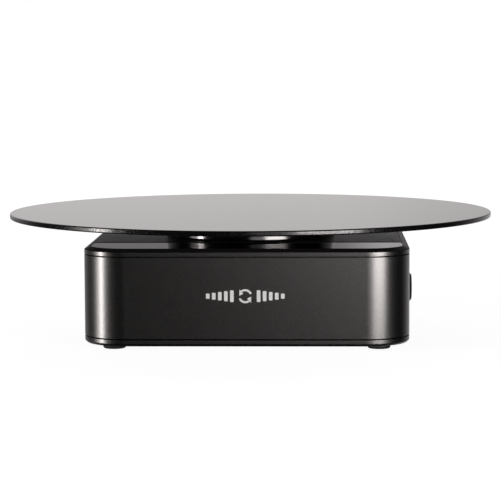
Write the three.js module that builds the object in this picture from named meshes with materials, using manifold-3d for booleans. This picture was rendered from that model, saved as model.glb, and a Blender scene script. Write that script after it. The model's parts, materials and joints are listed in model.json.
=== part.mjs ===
// Motorised product turntable: a black glass disc on a turned hub, driven by a
// geared motor inside a low, rounded-square aluminium housing on four rubber feet.
//
// Millimetres, +Z up, -Y is the front. The origin is on the floor, on the axis of the disc.

import * as THREE from "three";
import { mergeVertices } from "three/addons/utils/BufferGeometryUtils.js";
import Module from "manifold-3d";

const wasm = await Module();
wasm.setup();

// ---------------------------------------------------------------- driving dimensions

const GAP = 0.3; // between pieces that rest on or in each other
const RUNNING = 0.2; // radial clearance of a piece that turns in another
const SEAT = 0.05; // clearance of a piece that sits tight in or on another
const OVERCUT = 1; // how far a cutter, or a block that is joined on, runs past a face

// Sides of round pieces
const DISC_SIDES = 96;
const WIDE = 40;
const ROUND = 28;
const SMALL = 16;
const SCREW_SIDES = 8;
const HEXAGON = 6;

// Disc and hub
const DISC_RADIUS = 100;
const DISC_THICKNESS = 2.1;
const DISC_TOP = 50.5;
const DISC_ARRIS = 0.25; // ground edge of the glass
const HUB_RADIUS = 35;
const HUB_BOTTOM = 40.9;
const HUB_ARRIS = 0.4;
const HUB_HOLLOW = { inner: 18, outer: 31, depth: 3 };
const HUB_BORE = 4;
const BOND = { inner: 20, outer: 33, thickness: 0.3 };

// Housing, seen from above a rounded square
const HOUSING_HALF = 64.5;
const HOUSING_CORNER = 17.5;
const FEET_HEIGHT = 2.1; // underside of the bottom cover above the floor
const HOUSING_TOP = 40.35;
const LOWER_GROOVE = [4.65, 5.05]; // shadow gap between bottom cover and sleeve
const UPPER_GROOVE = [37, 37.4]; // shadow gap between sleeve and top cover
const WALL = 3;
const TOP_BEVEL = [2.4, 1.3]; // inwards, downwards
const BOTTOM_CHAMFER = 0.9;

// Panels let into the top cover
const RECESS_LIP = 0.2;
const RECESS_FLOOR = 39;
const PANEL_GAP = 0.15;
const PANEL_SEAM_Y = -34.8;
const FRONT_PANEL_TOP = 40.2;

// Fixings
const POST = { at: 52.3, radius: 4.5, hole: 1.35, web: [-2.5, 9], webHalf: 2.5 };
const FOOT = { radius: 4.7, pocket: 1, edge: 0.7 };
const FINE_SCREW = { head: 2.3, headHeight: 1.2, shank: 1.1, length: 8.5 };
const PLATE_SCREW = { head: 2.7, headHeight: 1.6, shank: 1.4, length: 8 };
const STANDOFF_AT = [51, -18, 38]; // half spacing in X, then the two Y positions
const STANDOFF_RADIUS = 3.2;

// Drive
const SHAFT_RADIUS = 6;
const JOURNAL_RADIUS = 5;
const SHAFT_END = 11.9;
const CLIP = { low: 12.2, high: 12.8, groove: 0.6, reach: 2.2, mouth: 5 };
const FLANGE = { radius: 15.5, bottom: 36.2, top: 40.8 };
const HUB_SCREW = { circle: 11, head: 3, headHeight: 1.6, shank: 1.45, length: 8.5 };
const UPPER_BEARING = { inner: 6, outer: 10.5, bottom: 29.95, width: 4.4 };
const LOWER_BEARING = { inner: 5, outer: 9.5, bottom: 14.2, width: 4.4 };
const RACE = 0.33; // a bearing ring's thickness over the bearing's radial width
const SHIELD = { inset: 0.1, thickness: 0.4 };
const CHASSIS = { bottom: 13, top: 15.4, boss: 12.5, bossTop: 19 };
const MODULE = 1;
const PRESSURE_ANGLE = THREE.MathUtils.degToRad(25);
const BACKLASH = 0.24;
const TEETH = { output: 48, idlerSmall: 12, idlerLarge: 36, motor: 12 };
const IDLER_DIRECTION = THREE.MathUtils.degToRad(160); // seen from the disc's axis
const MOTOR_DIRECTION = THREE.MathUtils.degToRad(75); // seen from the idler pin
const IDLER_PIN_RADIUS = 2;
const IDLER_PIN = { head: 3.4, headHeight: 1.2, top: 31, edge: 0.4 };
const MOTOR_SHAFT_RADIUS = 1.5;
const MOTOR = { radius: 15, bottom: 5.5, edge: 1, boss: 5.5, bossTop: 18.6, shaftBottom: 10 };
const MOTOR_FLANGE = { half: 16, top: 17.6, corner: 3, hole: 1.75 };
const MOTOR_SCREW = { offset: 12, length: 4.5 };

// Electrics
const BOARD = { bottom: 17.6, top: 19.2 };
const BOARD_PILLAR = { radius: 3.2, hole: 1.5 };
const BOARD_SCREW = { head: 2.5, headHeight: 1.3, shank: 1.35, length: 6 };
const LEAD_RADIUS = 1.1;
const BATTERY = { x: [-44, 22], y: [-59, -27], z: [5.2, 22.8], edge: 3 };
const BUTTON = { y: -27, z: 21.35, radius: 6.2, proud: 1.6, chamfer: 1.2, stem: 1.5 };
const BUTTON_FLANGE = { reach: 0.8, thickness: 1, behind: 0.5 }; // holds the button inside the wall
const BEZEL_OUTER = 7.4;
const USB = { x: 24, z: 21, width: 9, height: 3.2, length: 8.15, skin: 0.3, tongue: 0.7 };
const JACK = { x: 38, z: 21.7, nose: 2.9, hole: 1.8, bodyHalf: 3.2, length: 14.65 };
const SOCKET_FRONT = HOUSING_HALF - 0.35; // both sockets end just behind the port plate's face
const PORT_PLATE = { x: 31, z: 21.3, halfWidth: 14, halfHeight: 5, thickness: 1.2 };

// Tripod socket
const BUSH = { bore: 4.76, barrel: 8, flange: 12, top: 11.4, depth: 8 };

// ---------------------------------------------------------------- materials

const finish = (color, roughness, metalness) =>
  new THREE.MeshStandardMaterial({ color, roughness, metalness });

const blackGlass = finish(0x08080a, 0.04, 0);
const glossBlack = finish(0x0c0c0e, 0.08, 0);
const anodised = finish(0x1c1c1e, 0.42, 0.85);
const satinPlate = finish(0x242220, 0.35, 0.6);
const turnedBlack = finish(0x141416, 0.22, 0.9);
const steel = finish(0xb4b6b9, 0.3, 1);
const blackSteel = finish(0x26262a, 0.4, 0.9);
const brass = finish(0xb5944c, 0.35, 1);
const aluminium = finish(0xa8aaad, 0.45, 0.9);
const acetal = finish(0xe6e4dc, 0.5, 0);
const rubber = finish(0x111111, 0.9, 0);
const plastic = finish(0x17181a, 0.5, 0);
const boardGreen = finish(0x14452e, 0.55, 0);
const shrinkWrap = finish(0x1f4f8a, 0.4, 0);
const adhesive = finish(0x2a2a2a, 0.8, 0);
const leadRed = finish(0x9c1c16, 0.5, 0);

// ---------------------------------------------------------------- solids

function solid(geometry) {
  const bare = geometry.clone();
  bare.deleteAttribute("normal");
  bare.deleteAttribute("uv");
  const merged = mergeVertices(bare, 1e-5);
  const index = merged.index.array;
  const faces = [];
  for (let i = 0; i < index.length; i += 3) {
    const [a, b, c] = [index[i], index[i + 1], index[i + 2]];
    if (a !== b && b !== c && c !== a) faces.push(a, b, c);
  }
  return new wasm.Manifold(
    new wasm.Mesh({
      numProp: 3,
      vertProperties: Float32Array.from(merged.attributes.position.array),
      triVerts: Uint32Array.from(faces),
    }),
  );
}

function geometryOf(body) {
  const mesh = body.getMesh();
  const geometry = new THREE.BufferGeometry();
  const positions = Float32Array.from(mesh.vertProperties);
  geometry.setAttribute("position", new THREE.BufferAttribute(positions, 3));
  geometry.setIndex(new THREE.BufferAttribute(Uint32Array.from(mesh.triVerts), 1));
  geometry.computeVertexNormals();
  return geometry;
}

const union = (first, ...rest) => rest.reduce((whole, more) => whole.add(more), first);
const cut = (first, ...rest) => rest.reduce((whole, less) => whole.subtract(less), first);

function block([x0, x1], [y0, y1], [z0, z1]) {
  const box = new THREE.BoxGeometry(x1 - x0, y1 - y0, z1 - z0);
  return solid(box.translate((x0 + x1) / 2, (y0 + y1) / 2, (z0 + z1) / 2));
}

// Revolves a profile of [radius, z] pairs, listed bottom to top along its outer side.
function turned(profile, sides = ROUND) {
  const points = profile.map(([radius, z]) => new THREE.Vector2(radius, z));
  return solid(new THREE.LatheGeometry(points, sides).rotateX(Math.PI / 2));
}

const rod = (radius, [z0, z1], sides = ROUND) =>
  turned([[0, z0], [radius, z0], [radius, z1], [0, z1]], sides);

const tube = (inner, outer, [z0, z1], sides = ROUND) =>
  turned([[inner, z0], [outer, z0], [outer, z1], [inner, z1], [inner, z0]], sides);

const countersink = ([z0, r0], [z1, r1], sides = SMALL) =>
  turned([[0, z0], [r0, z0], [r1, z1], [0, z1]], sides);

const at = (body, x, y, z = 0) => body.translate([x, y, z]);

// Turns a solid made along +Z so that it runs along +X or +Y.
const alongX = (body) => body.rotate([0, 90, 0]);
const alongY = (body) => body.rotate([-90, 0, 0]);

function roundedSquare(half, corner) {
  const shape = new THREE.Shape();
  const inner = half - corner;
  const centres = [[inner, inner], [-inner, inner], [-inner, -inner], [inner, -inner]];
  centres.forEach(([x, y], quarter) => {
    const start = (quarter * Math.PI) / 2;
    shape.absarc(x, y, corner, start, start + Math.PI / 2, false);
  });
  return shape;
}

// Joins rounded squares of [half size, corner radius, z] into one convex solid.
function stackedSquares(levels, cornerSteps = 8) {
  const rings = levels.map(([half, corner, z]) => {
    const outline = roundedSquare(half, corner).curves
      .filter((curve) => curve.isEllipseCurve)
      .flatMap((arc) => arc.getPoints(cornerSteps));
    return outline.map((point) => [point.x, point.y, z]);
  });
  const count = rings[0].length;
  const last = (rings.length - 1) * count;
  const faces = [];
  for (let i = 1; i < count - 1; i += 1) {
    faces.push(0, i + 1, i, last, last + i, last + i + 1);
  }
  for (let base = 0; base < last; base += count) {
    for (let i = 0; i < count; i += 1) {
      const next = (i + 1) % count;
      faces.push(base + i, base + next, base + count + next);
      faces.push(base + i, base + count + next, base + count + i);
    }
  }
  const geometry = new THREE.BufferGeometry();
  const positions = new Float32Array(rings.flat(2));
  geometry.setAttribute("position", new THREE.BufferAttribute(positions, 3));
  geometry.setIndex(faces);
  return solid(geometry);
}

const squarePrism = (half, corner, [z0, z1]) =>
  stackedSquares([[half, corner, z0], [half, corner, z1]]);

function prism(points, [z0, z1]) {
  const shape = new THREE.Shape(points.map(([x, y]) => new THREE.Vector2(x, y)));
  const depth = z1 - z0;
  const geometry = new THREE.ExtrudeGeometry(shape, { depth, bevelEnabled: false });
  return solid(geometry.translate(0, 0, z0));
}

function roundedBar([x0, x1], [y0, y1], [z0, z1], corner) {
  const shape = new THREE.Shape();
  shape.absarc(x1 - corner, y1 - corner, corner, 0, Math.PI / 2, false);
  shape.absarc(x0 + corner, y1 - corner, corner, Math.PI / 2, Math.PI, false);
  shape.absarc(x0 + corner, y0 + corner, corner, Math.PI, 1.5 * Math.PI, false);
  shape.absarc(x1 - corner, y0 + corner, corner, 1.5 * Math.PI, 2 * Math.PI, false);
  const options = { depth: z1 - z0, bevelEnabled: false, curveSegments: 3 };
  return solid(new THREE.ExtrudeGeometry(shape, options).translate(0, 0, z0));
}

// An involute spur gear with tooth 0 centred on +X.
function spurGear(teeth, [z0, z1], bore) {
  const pitch = (MODULE * teeth) / 2;
  const base = pitch * Math.cos(PRESSURE_ANGLE);
  const tip = pitch + MODULE;
  const root = pitch - 1.25 * MODULE;
  const involute = (radius) => {
    const angle = Math.acos(Math.min(1, base / radius));
    return Math.tan(angle) - angle;
  };
  const halfAtPitch = Math.PI / (2 * teeth) - BACKLASH / 2 / (2 * pitch);
  const halfAt = (radius) => halfAtPitch + involute(pitch) - involute(Math.max(radius, base));
  const start = Math.max(root, base);
  const flank = [0, 0.5, 1].map((t) => start + (tip - start) * t);
  if (root < base) flank.unshift(root);
  const outline = [];
  for (let tooth = 0; tooth < teeth; tooth += 1) {
    const centre = (tooth * 2 * Math.PI) / teeth;
    const rising = flank.map((radius) => [radius, centre - halfAt(radius)]);
    const falling = flank.map((radius) => [radius, centre + halfAt(radius)]).reverse();
    outline.push(...rising, ...falling);
  }
  const points = outline.map(([radius, a]) => [radius * Math.cos(a), radius * Math.sin(a)]);
  return cut(prism(points, [z0, z1]), rod(bore, [z0 - OVERCUT, z1 + OVERCUT]));
}

// The angle that turns a gear so that a tooth, or a gap, faces the given direction.
const facing = (direction, teeth, gap) => direction + (gap ? Math.PI / teeth : 0);

function lead(points, radius) {
  const route = new THREE.CatmullRomCurve3(points.map((p) => new THREE.Vector3(...p)));
  const section = new THREE.Shape().absarc(0, 0, radius, 0, 2 * Math.PI, false);
  const options = { steps: 14, curveSegments: 3, extrudePath: route, bevelEnabled: false };
  return solid(new THREE.ExtrudeGeometry(section, options));
}

// A countersunk screw, its head's top at z = 0 and its shank below.
const countersunkScrew = ({ head, headHeight, shank, length }) =>
  turned([
    [0, -length], [shank, -length], [shank, -headHeight], [head, 0],
    [head * 0.45, 0], [head * 0.3, -headHeight * 0.7], [0, -headHeight * 0.7],
  ], SCREW_SIDES);

// A pan-head screw, the underside of its head at z = 0.
const panScrew = ({ head, headHeight, shank, length }) =>
  turned([
    [0, -length], [shank, -length], [shank, 0], [head, 0], [head, headHeight * 0.6],
    [head * 0.7, headHeight], [head * 0.4, headHeight], [head * 0.3, headHeight * 0.4],
    [0, headHeight * 0.4],
  ], SCREW_SIDES);

// ---------------------------------------------------------------- scene graph

const turntable = new THREE.Group();

function add(group, name, material, body) {
  const mesh = new THREE.Mesh(geometryOf(body), material);
  mesh.name = name;
  group.add(mesh);
  return mesh;
}

function subassembly(x = 0, y = 0, z = 0) {
  const group = new THREE.Group();
  group.position.set(x, y, z);
  turntable.add(group);
  return group;
}

const corners = [["front_left", -1, -1], ["front_right", 1, -1],
  ["rear_left", -1, 1], ["rear_right", 1, 1]];

// ---------------------------------------------------------------- disc, hub and shaft

const rotor = subassembly();
const DISC_BOTTOM = DISC_TOP - DISC_THICKNESS;
const HUB_TOP = DISC_BOTTOM - BOND.thickness;

function makeGlassDisc() {
  const rim = DISC_RADIUS - DISC_ARRIS;
  add(rotor, "glass_disc", blackGlass, turned([
    [0, DISC_BOTTOM], [rim, DISC_BOTTOM], [DISC_RADIUS, DISC_BOTTOM + DISC_ARRIS],
    [DISC_RADIUS, DISC_TOP - DISC_ARRIS], [rim, DISC_TOP], [0, DISC_TOP],
  ], DISC_SIDES));
  const film = [HUB_TOP + SEAT, DISC_BOTTOM - SEAT];
  add(rotor, "bond_ring", adhesive, tube(BOND.inner, BOND.outer, film));
}

function makeHub() {
  const rim = HUB_RADIUS - HUB_ARRIS;
  const { inner, outer, depth } = HUB_HOLLOW;
  const hollow = HUB_BOTTOM + depth;
  let hub = turned([
    [HUB_BORE, HUB_BOTTOM], [inner, HUB_BOTTOM], [inner, hollow], [outer, hollow],
    [outer, HUB_BOTTOM], [rim, HUB_BOTTOM], [HUB_RADIUS, HUB_BOTTOM + HUB_ARRIS],
    [HUB_RADIUS, HUB_TOP - HUB_ARRIS], [rim, HUB_TOP], [HUB_BORE, HUB_TOP],
    [HUB_BORE, HUB_BOTTOM],
  ], WIDE);
  const { circle, head, headHeight, shank } = HUB_SCREW;
  const headTop = HUB_TOP - 1;
  for (let i = 0; i < 3; i += 1) {
    const angle = (i * 2 * Math.PI) / 3;
    const [x, y] = [circle * Math.cos(angle), circle * Math.sin(angle)];
    const hole = union(
      rod(shank + GAP, [HUB_BOTTOM - OVERCUT, HUB_TOP], SMALL),
      countersink([headTop - headHeight - GAP, shank + GAP], [headTop, head + GAP]),
      rod(head + GAP, [headTop - 0.1, HUB_TOP + OVERCUT], SMALL),
    );
    hub = hub.subtract(at(hole, x, y));
    const screw = add(rotor, `hub_screw_${i + 1}`, blackSteel, countersunkScrew(HUB_SCREW));
    screw.position.set(x, y, headTop);
  }
  add(rotor, "turntable_hub", turnedBlack, hub);
}

function makeOutputShaft() {
  const { low: clipLow, high: clipHigh, reach, mouth: mouthWidth } = CLIP;
  const shoulder = LOWER_BEARING.bottom + LOWER_BEARING.width + 0.2;
  const clipGroove = JOURNAL_RADIUS - CLIP.groove;
  const journal = JOURNAL_RADIUS - SEAT;
  let shaft = turned([
    [0, SHAFT_END], [journal, SHAFT_END], [journal, clipLow], [clipGroove, clipLow],
    [clipGroove, clipHigh], [journal, clipHigh], [journal, shoulder], [SHAFT_RADIUS - SEAT, shoulder],
    [SHAFT_RADIUS - SEAT, FLANGE.bottom], [FLANGE.radius, FLANGE.bottom],
    [FLANGE.radius, FLANGE.top], [0, FLANGE.top],
  ]);
  for (let i = 0; i < 3; i += 1) {
    const angle = (i * 2 * Math.PI) / 3;
    const hole = rod(HUB_SCREW.shank + 0.1, [FLANGE.bottom - OVERCUT, FLANGE.top + OVERCUT], SMALL);
    shaft = shaft.subtract(
      at(hole, HUB_SCREW.circle * Math.cos(angle), HUB_SCREW.circle * Math.sin(angle)));
  }
  add(rotor, "output_shaft", steel, shaft);
  const ring = tube(clipGroove + 2 * SEAT, JOURNAL_RADIUS + reach, [clipLow + SEAT, clipHigh - SEAT]);
  const mouth = block([clipGroove / 2, 2 * JOURNAL_RADIUS], [-mouthWidth / 2, mouthWidth / 2],
    [clipLow - OVERCUT, clipHigh + OVERCUT]);
  add(rotor, "shaft_clip", blackSteel, cut(ring, mouth));
}

// Inner and outer ring of a shielded ball bearing.
function makeBearing(name, fixedGroup, { inner, outer, bottom, width }) {
  const top = bottom + width;
  const innerRing = inner + RACE * (outer - inner);
  const outerRing = inner + 2 * RACE * (outer - inner);
  const shield = innerRing + RUNNING;
  const { inset, thickness } = SHIELD;
  const plate = inset + thickness;
  add(rotor, `${name}_inner_ring`, steel, tube(inner, innerRing, [bottom, top]));
  add(fixedGroup, `${name}_outer_ring`, steel, turned([
    [shield, bottom + inset], [outer, bottom + inset], [outer, top - inset], [shield, top - inset],
    [shield, top - plate], [outerRing, top - plate], [outerRing, bottom + plate],
    [shield, bottom + plate], [shield, bottom + inset],
  ]));
}

// ---------------------------------------------------------------- gear train and motor

const pitchRadius = (teeth) => (MODULE * teeth) / 2;
const idlerDistance = pitchRadius(TEETH.output) + pitchRadius(TEETH.idlerSmall);
const motorDistance = pitchRadius(TEETH.idlerLarge) + pitchRadius(TEETH.motor);
const IDLER_X = idlerDistance * Math.cos(IDLER_DIRECTION);
const IDLER_Y = idlerDistance * Math.sin(IDLER_DIRECTION);
const MOTOR_X = IDLER_X + motorDistance * Math.cos(MOTOR_DIRECTION);
const MOTOR_Y = IDLER_Y + motorDistance * Math.sin(MOTOR_DIRECTION);
const GEAR_WINDOW = { circle: 15.5, radius: 4.6 };
const OUTPUT_GEAR_Z = [24.5, 28.5];
const LARGE_IDLER_Z = [19.6, 22.6];
const SMALL_IDLER_Z = [22.6, 29.2];
const PINION_Z = [19, 23.2];

function makeOutputGear() {
  const bore = SHAFT_RADIUS + SEAT;
  let gear = spurGear(TEETH.output, OUTPUT_GEAR_Z, bore);
  for (let i = 0; i < 6; i += 1) {
    const angle = (i * Math.PI) / 3;
    const [x, y] = [GEAR_WINDOW.circle * Math.cos(angle), GEAR_WINDOW.circle * Math.sin(angle)];
    const window = rod(GEAR_WINDOW.radius, [OUTPUT_GEAR_Z[0] - OVERCUT, OUTPUT_GEAR_Z[1] + OVERCUT], SMALL);
    gear = gear.subtract(at(window, x, y));
  }
  const mesh = add(rotor, "output_gear", acetal, gear);
  mesh.rotation.z = facing(IDLER_DIRECTION, TEETH.output, false);
}

function makeIdler() {
  const idler = subassembly(IDLER_X, IDLER_Y);
  const bore = IDLER_PIN_RADIUS + RUNNING;
  const large = spurGear(TEETH.idlerLarge, LARGE_IDLER_Z, bore)
    .rotate([0, 0, THREE.MathUtils.radToDeg(facing(MOTOR_DIRECTION, TEETH.idlerLarge, false))]);
  const smallTurn = facing(IDLER_DIRECTION + Math.PI, TEETH.idlerSmall, true);
  const overlap = [SMALL_IDLER_Z[0] - 0.5, SMALL_IDLER_Z[1]];
  const small = spurGear(TEETH.idlerSmall, overlap, bore)
    .rotate([0, 0, THREE.MathUtils.radToDeg(smallTurn)]);
  add(idler, "idler_gear", acetal, union(large, small));
  const { head, headHeight, top, edge } = IDLER_PIN;
  const headTop = CHASSIS.bottom - GAP;
  add(idler, "idler_pin", steel, turned([
    [0, headTop - headHeight], [head, headTop - headHeight], [head, headTop],
    [IDLER_PIN_RADIUS, headTop], [IDLER_PIN_RADIUS, top - edge], [IDLER_PIN_RADIUS - edge, top],
    [0, top],
  ], SMALL));
}

function makeMotor() {
  const motor = subassembly(MOTOR_X, MOTOR_Y);
  const { radius, bottom, edge, bossTop, shaftBottom } = MOTOR;
  const shaftTop = PINION_Z[1] + 0.5;
  const pinion = add(motor, "motor_pinion", brass,
    spurGear(TEETH.motor, PINION_Z, MOTOR_SHAFT_RADIUS + SEAT));
  pinion.rotation.z = facing(MOTOR_DIRECTION + Math.PI, TEETH.motor, true);
  add(motor, "motor_shaft", steel, turned([
    [0, shaftBottom], [MOTOR_SHAFT_RADIUS, shaftBottom], [MOTOR_SHAFT_RADIUS, shaftTop - 0.3],
    [MOTOR_SHAFT_RADIUS - 0.3, shaftTop], [0, shaftTop],
  ], SMALL));
  const { half, top: flangeTop, corner, hole } = MOTOR_FLANGE;
  const flangeBottom = CHASSIS.top + GAP;
  const can = turned([
    [0, bottom], [radius - edge, bottom], [radius, bottom + edge], [radius, flangeBottom + 0.5],
    [0, flangeBottom + 0.5],
  ]);
  const flange = roundedBar([-half, half], [-half, half], [flangeBottom, flangeTop], corner);
  const boss = rod(MOTOR.boss, [flangeTop - 0.5, bossTop], SMALL);
  const bore = [shaftBottom - 0.5, bossTop + OVERCUT];
  const shaftBore = rod(MOTOR_SHAFT_RADIUS + RUNNING, bore, SMALL);
  let body = cut(union(can, flange, boss), shaftBore);
  const { offset, length } = MOTOR_SCREW;
  [[offset, offset], [-offset, offset]].forEach(([x, y], i) => {
    body = body.subtract(at(rod(hole, [CHASSIS.top, flangeTop + OVERCUT], SCREW_SIDES), x, y));
    const size = { ...PLATE_SCREW, length };
    const screw = add(motor, `motor_screw_${i + 1}`, blackSteel, panScrew(size));
    screw.position.set(x, y, flangeTop + SEAT);
  });
  add(motor, "drive_motor", blackSteel, body);
}

// ---------------------------------------------------------------- chassis

const inside = subassembly();
const standoffPlaces = [
  [-STANDOFF_AT[0], STANDOFF_AT[1]], [STANDOFF_AT[0], STANDOFF_AT[1]],
  [-STANDOFF_AT[0], STANDOFF_AT[2]], [STANDOFF_AT[0], STANDOFF_AT[2]],
];
const boardScrewPlaces = [[20, 42], [40, -30]];
const boardScrewLift = BOARD.bottom - GAP;

function makeChassis() {
  const { bottom, top, boss, bossTop } = CHASSIS;
  const [side, rear, front, notch] = [57, 56, -24, 44];
  const arm = { x: [33, 46], front: -36 };
  const leadHole = { x: 12, y: 30, radius: 3 };
  const outline = [[-side, front], [side, front], [side, notch], [notch, notch],
    [notch, rear], [-notch, rear], [-notch, notch], [-side, notch]];
  const through = [bottom - OVERCUT, top + OVERCUT];
  const extension = block(arm.x, [arm.front, front + OVERCUT], [bottom, top]);
  let plate = union(prism(outline, [bottom, top]), rod(boss, [bottom, bossTop]), extension);
  for (const [x, y] of boardScrewPlaces) {
    const hole = rod(BOARD_PILLAR.hole, [bottom - OVERCUT, boardScrewLift + OVERCUT], SCREW_SIDES);
    plate = plate.add(at(rod(BOARD_PILLAR.radius, [bottom, boardScrewLift], SMALL), x, y));
    plate = plate.subtract(at(hole, x, y));
  }
  plate = cut(
    plate,
    rod(LOWER_BEARING.outer + SEAT, [LOWER_BEARING.bottom - 0.2, bossTop + OVERCUT]),
    rod(JOURNAL_RADIUS + CLIP.reach + 0.4, through),
    at(rod(IDLER_PIN_RADIUS + SEAT, through, SMALL), IDLER_X, IDLER_Y),
    at(rod(MOTOR.radius + GAP, through), MOTOR_X, MOTOR_Y),
    at(rod(leadHole.radius, through, SMALL), leadHole.x, leadHole.y),
  );
  for (const side of [-1, 1]) {
    const [x, y] = [MOTOR_X + side * MOTOR_SCREW.offset, MOTOR_Y + MOTOR_SCREW.offset];
    plate = plate.subtract(at(rod(PLATE_SCREW.shank + 0.1, through, SCREW_SIDES), x, y));
  }
  const screwHole = rod(PLATE_SCREW.shank + 0.35, through, SCREW_SIDES);
  for (const [x, y] of standoffPlaces) plate = plate.subtract(at(screwHole, x, y));
  add(inside, "chassis_plate", aluminium, plate);
}

function makeStandoffs() {
  const floor = LOWER_GROOVE[0] + GAP;
  const top = CHASSIS.bottom - 0.1;
  const thread = rod(PLATE_SCREW.shank + 0.2, [floor + 1, top + OVERCUT], SCREW_SIDES);
  const post = cut(rod(STANDOFF_RADIUS, [floor, top], HEXAGON), thread);
  standoffPlaces.forEach(([x, y], i) => {
    add(inside, `chassis_standoff_${i + 1}`, brass, post).position.set(x, y, 0);
    const screw = add(inside, `chassis_screw_${i + 1}`, blackSteel, panScrew(PLATE_SCREW));
    screw.position.set(x, y, CHASSIS.top + SEAT);
  });
}

// ---------------------------------------------------------------- housing

const housing = subassembly();

function makeSleeve() {
  const [z0, z1] = [LOWER_GROOVE[1], UPPER_GROOVE[0]];
  const outer = squarePrism(HOUSING_HALF, HOUSING_CORNER, [z0, z1]);
  const inner = squarePrism(HOUSING_HALF - WALL, HOUSING_CORNER - WALL, [z0 - OVERCUT, z1 + OVERCUT]);
  let sleeve = outer.subtract(inner);
  for (const [, sx, sy] of corners) {
    const web = roundedBar(POST.web, [-POST.webHalf, POST.webHalf], [z0, z1], 0.5)
      .rotate([0, 0, THREE.MathUtils.radToDeg(Math.atan2(sy, sx))]);
    const post = union(rod(POST.radius, [z0, z1], SMALL), web);
    sleeve = sleeve.add(at(post, sx * POST.at, sy * POST.at).intersect(outer));
    sleeve = sleeve.subtract(
      at(rod(POST.hole, [z0 - OVERCUT, z1 + OVERCUT], SCREW_SIDES), sx * POST.at, sy * POST.at));
  }
  const throughWall = [HOUSING_HALF - WALL - OVERCUT, HOUSING_HALF + OVERCUT];
  const buttonHole = alongX(rod(BEZEL_OUTER + 0.1, throughWall));
  const { x, z, halfWidth, halfHeight, thickness } = PORT_PLATE;
  const pocketFloor = HOUSING_HALF - thickness - GAP;
  const pocket = block([x - halfWidth - PANEL_GAP, x + halfWidth + PANEL_GAP],
    [pocketFloor, HOUSING_HALF + OVERCUT], [z - halfHeight - PANEL_GAP, z + halfHeight + PANEL_GAP]);
  const openings = portOpenings([HOUSING_HALF - WALL - OVERCUT, pocketFloor + OVERCUT], 0.5);
  add(housing, "body_sleeve", anodised,
    cut(sleeve, at(buttonHole, 0, BUTTON.y, BUTTON.z), pocket, openings));
}

function portOpenings([y0, y1], clearance) {
  const halfWidth = USB.width / 2 + clearance;
  const halfHeight = USB.height / 2 + clearance;
  const usb = block([USB.x - halfWidth, USB.x + halfWidth], [y0, y1],
    [USB.z - halfHeight, USB.z + halfHeight]);
  const jack = at(alongY(rod(JACK.nose + clearance, [y0, y1], SMALL)), JACK.x, 0, JACK.z);
  return union(usb, jack);
}

// Four bars that locate a cover inside the sleeve.
function locatingBars([z0, z1]) {
  const outer = HOUSING_HALF - WALL - GAP;
  const inner = outer - 1.5;
  const reach = 38;
  const bars = [-1, 1].flatMap((side) => {
    const across = [Math.min(side * outer, side * inner), Math.max(side * outer, side * inner)];
    return [block([-reach, reach], across, [z0, z1]), block(across, [-reach, reach], [z0, z1])];
  });
  return union(...bars);
}

function makeTopCover() {
  const bottom = UPPER_GROOVE[1];
  const [inwards, downwards] = TOP_BEVEL;
  const flatHalf = HOUSING_HALF - inwards;
  const flatCorner = HOUSING_CORNER - inwards;
  const recessHalf = flatHalf - RECESS_LIP;
  const recessCorner = flatCorner - RECESS_LIP;
  const { bottom: bearingLow, width, outer } = UPPER_BEARING;
  const pocketTop = bearingLow + width + 0.15;
  const skin = stackedSquares([
    [HOUSING_HALF, HOUSING_CORNER, bottom], [HOUSING_HALF, HOUSING_CORNER, HOUSING_TOP - downwards],
    [flatHalf, flatCorner, HOUSING_TOP],
  ]);
  const boss = turned([
    [0, bearingLow - 0.15], [outer + 3, bearingLow - 0.15], [outer + 3, pocketTop],
    [18.5, pocketTop], [18.5, bottom + 0.5], [0, bottom + 0.5],
  ]);
  let cover = cut(
    union(skin, boss, locatingBars([bottom - 2, bottom + 0.5])),
    squarePrism(recessHalf, recessCorner, [RECESS_FLOOR, HOUSING_TOP + OVERCUT]),
    rod(outer + SEAT, [bearingLow - OVERCUT, pocketTop]),
    rod(7.5, [bearingLow, HOUSING_TOP]),
    rod(FLANGE.radius + 0.8, [FLANGE.bottom - 0.4, HOUSING_TOP + OVERCUT]),
  );
  const { head, headHeight, shank } = FINE_SCREW;
  const headTop = RECESS_FLOOR - SEAT;
  for (const [place, sx, sy] of corners) {
    const [x, y] = [sx * POST.at, sy * POST.at];
    const hole = union(
      rod(shank + 0.15, [bottom - OVERCUT, RECESS_FLOOR], SCREW_SIDES),
      countersink([headTop - headHeight, shank + 0.15], [headTop + 1.2, head + 1.35], SCREW_SIDES),
    );
    cover = cover.subtract(at(hole, x, y));
    const screw = add(housing, `top_screw_${place}`, blackSteel, countersunkScrew(FINE_SCREW));
    screw.position.set(x, y, headTop);
  }
  add(housing, "top_cover", anodised, cover);
  makePanels(recessHalf - PANEL_GAP, recessCorner - PANEL_GAP);
}

function makePanels(half, corner) {
  const bottom = RECESS_FLOOR + PANEL_GAP;
  const reach = HOUSING_HALF + 5;
  const front = squarePrism(half, corner, [bottom, FRONT_PANEL_TOP]);
  const frontHalf = block([-reach, reach], [-reach, PANEL_SEAM_Y - PANEL_GAP], [0, reach]);
  add(housing, "front_top_panel", glossBlack, front.intersect(frontHalf));
  const rear = squarePrism(half, corner, [bottom, HOUSING_TOP]);
  const rearHalf = block([-reach, reach], [PANEL_SEAM_Y + PANEL_GAP, reach], [0, reach]);
  const shaftHole = rod(FLANGE.radius + 0.8, [bottom - OVERCUT, HOUSING_TOP + OVERCUT]);
  add(housing, "rear_top_plate", satinPlate, cut(rear.intersect(rearHalf), shaftHole));
}

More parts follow.
